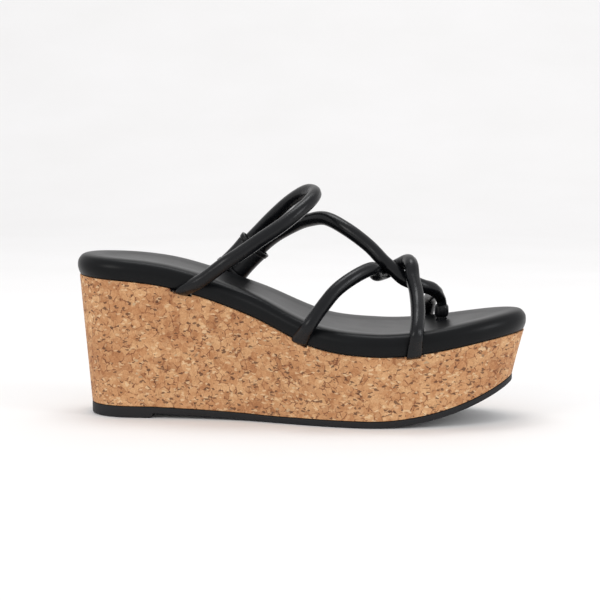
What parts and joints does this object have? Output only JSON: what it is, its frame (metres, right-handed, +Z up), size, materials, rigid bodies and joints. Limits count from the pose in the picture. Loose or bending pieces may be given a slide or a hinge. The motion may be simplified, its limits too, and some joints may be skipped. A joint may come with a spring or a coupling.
{
  "type": "wedge sandal",
  "caption": "Right-foot wedge sandal with a cork-covered wedge, padded footbed, moulded tread, and round leather straps that hook together over the forefoot and end in a toe post.",
  "frame": {"origin": "on the floor, under the middle of the sandal's box", "axes": "+X towards the toe, +Y towards the inner (medial) side of the foot, +Z up"},
  "size_m": [0.248, 0.0992, 0.1268],
  "materials": {
    "outsole_rubber": "matte moulded",
    "wedge_foam": "closed-cell foam",
    "cork": "sanded agglomerated cork sheet",
    "felt": "felt",
    "spring_steel": "plain",
    "fibre_board": "cellulose fibre board",
    "footbed_foam": "open-cell foam",
    "footbed_leather": "satin, fine grain",
    "strap_leather": "satin, fine grain",
    "cord": "twisted cotton",
    "elastic": "woven elastic webbing"
  },
  "bodies": {
    "root": {"outsole": "outsole_rubber", "wedge_core": "wedge_foam", "cork_wrap": "cork", "lasting_filler": "felt", "shank": "spring_steel", "insole_board": "fibre_board", "shank_rivet_rear": "spring_steel", "shank_rivet_front": "spring_steel", "footbed_foam": "footbed_foam", "footbed_cover": "footbed_leather", "strap_sleeve": "strap_leather", "sleeve_elastic": "elastic", "toe_post_wrap": "strap_leather", "toe_post_anchor": "fibre_board", "instep_strap": "strap_leather", "instep_strap_cord": "cord", "cross_strap": "strap_leather", "cross_strap_cord": "cord", "arch_strap": "strap_leather", "arch_strap_cord": "cord", "toe_strap": "strap_leather", "toe_strap_cord": "cord", "medial_rear_tube": "strap_leather", "medial_rear_tube_cord": "cord", "medial_front_tube": "strap_leather", "medial_front_tube_cord": "cord", "strap_tack_1": "spring_steel", "strap_tack_2": "spring_steel", "strap_tack_3": "spring_steel", "strap_tack_4": "spring_steel", "strap_tack_5": "spring_steel", "strap_tack_6": "spring_steel"}
  },
  "joints": []
}
